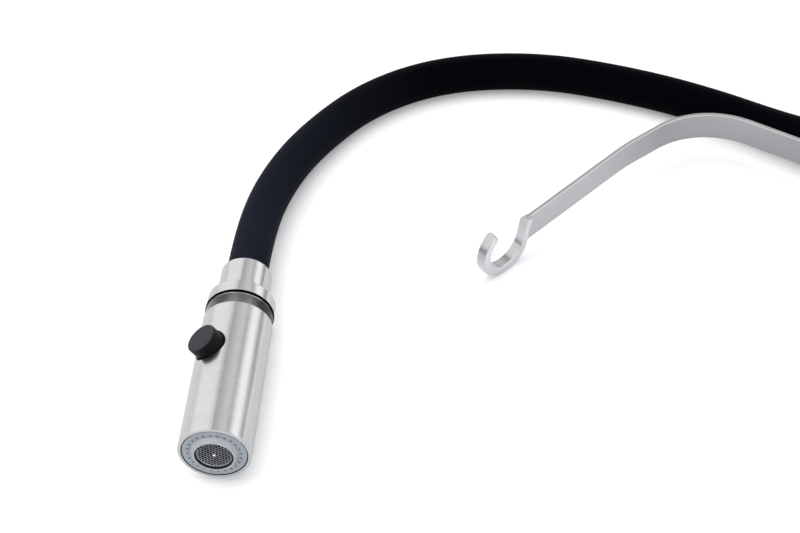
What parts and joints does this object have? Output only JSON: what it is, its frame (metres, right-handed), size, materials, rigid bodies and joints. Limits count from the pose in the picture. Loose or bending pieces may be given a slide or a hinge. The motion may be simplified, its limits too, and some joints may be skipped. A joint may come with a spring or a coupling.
{
  "type": "kitchen mixer tap",
  "caption": "Tall kitchen mixer tap lying on its side: steel column with side lever, bent strip arm with a hook, black rubber hose and a steel pull-out spray head.",
  "frame": {"origin": "centre of the deck face, on the column's axis", "axes": "-X up the column (up when the tap is fitted), -Y over the sink, +Z away from the surface that the tap lies on, which is the user's right when the tap is fitted"},
  "size_m": [0.5343, 0.3744, 0.091],
  "materials": {
    "brushed_steel": "fine brushed stainless steel",
    "bright_steel": "bright plain steel",
    "brass": "machined brass",
    "copper_tube": "drawn copper alloy",
    "black_rubber": "smooth satin black rubber",
    "black_plastic": "matt black plastic",
    "grey_plastic": "satin blue-grey plastic",
    "light_plastic": "satin light grey plastic",
    "dark_plastic": "dark grey plastic screen",
    "white_plastic": "plain white plastic",
    "ceramic": "polished white ceramic"
  },
  "bodies": {
    "root": {"base_flange": "brushed_steel", "deck_seal": "black_rubber", "threaded_shank": "brass", "rubber_washer": "black_rubber", "steel_washer": "bright_steel", "shank_nut": "brass", "column_tube": "brushed_steel", "column_set_screw": "bright_steel", "valve_body": "brass", "valve_housing": "brushed_steel", "cartridge_case": "white_plastic", "cartridge_seal": "black_rubber", "fixed_ceramic_disc": "ceramic", "cartridge_nut": "brass", "riser_tube": "copper_tube", "swivel_spigot": "brushed_steel", "plug_oring": "black_rubber", "swivel_bush_lower": "white_plastic", "swivel_bush_upper": "white_plastic", "swivel_circlip": "bright_steel", "hose_base_nipple": "brass", "hose_base_ferrule": "brushed_steel", "spray_hose": "black_rubber", "hose_head_ferrule": "brushed_steel", "hose_head_nipple": "brass", "nipple_circlip": "bright_steel", "check_valve": "white_plastic", "head_collar": "brushed_steel", "collar_seal": "black_rubber"},
    "arm": {"carrier_ring": "brushed_steel", "arm_strip": "brushed_steel", "arm_hook": "brushed_steel", "arm_screws": "bright_steel"},
    "temperature": {"stem_carrier": "white_plastic", "pivot_pin": "bright_steel", "cover_cap": "brushed_steel"},
    "lever": {"lever_spindle": "bright_steel", "lever_hub": "brushed_steel", "lever_rod": "brushed_steel", "lever_grub_screw": "bright_steel"},
    "moving_disc": {"moving_ceramic_disc": "ceramic"},
    "spray_head": {"head_neck": "brushed_steel", "head_shell": "brushed_steel", "head_core": "white_plastic", "neck_oring": "black_rubber", "face_plate": "grey_plastic", "spray_nozzles": "light_plastic", "face_seal": "black_plastic", "aerator_housing": "light_plastic", "aerator_mesh": "dark_plastic", "aerator_insert": "white_plastic", "button_sleeve": "black_plastic"},
    "button": {"button_cap": "black_plastic", "diverter_stem": "white_plastic", "button_spring": "bright_steel"}
  },
  "joints": [
    {"name": "arm_swivel", "type": "hinge", "parent": "root", "child": "arm", "pos_m": [-0.16, 0, 0], "axis": [-1, 0, 0], "range_deg": [0, 140]},
    {"name": "lever_temperature", "type": "hinge", "parent": "root", "child": "temperature", "pos_m": [-0.072, 0, 0.036], "axis": [0, 0, 1], "range_deg": [-45, 45]},
    {"name": "lever_flow", "type": "hinge", "parent": "temperature", "child": "lever", "pos_m": [-0.072, 0, 0.036], "axis": [0, 1, 0], "range_deg": [0, 20]},
    {"name": "disc_slide", "type": "slide", "parent": "temperature", "child": "moving_disc", "axis": [-1, 0, 0], "range_m": [0, 0.00233]},
    {"name": "head_swivel", "type": "hinge", "parent": "root", "child": "spray_head", "pos_m": [-0.3905, -0.3458, -0.00003], "axis": [-0.4396, 0.8974, -0.0384], "continuous": true},
    {"name": "button_press", "type": "slide", "parent": "spray_head", "child": "button", "axis": [0.5289, 0.2241, -0.8185], "range_m": [0, 0.003], "stiffness_N_per_m": 300, "deforming": ["button_spring"]}
  ],
  "couplings": [
    {"joint": "disc_slide", "follows": "lever_flow", "m_per_rad": 0.0066627}
  ]
}
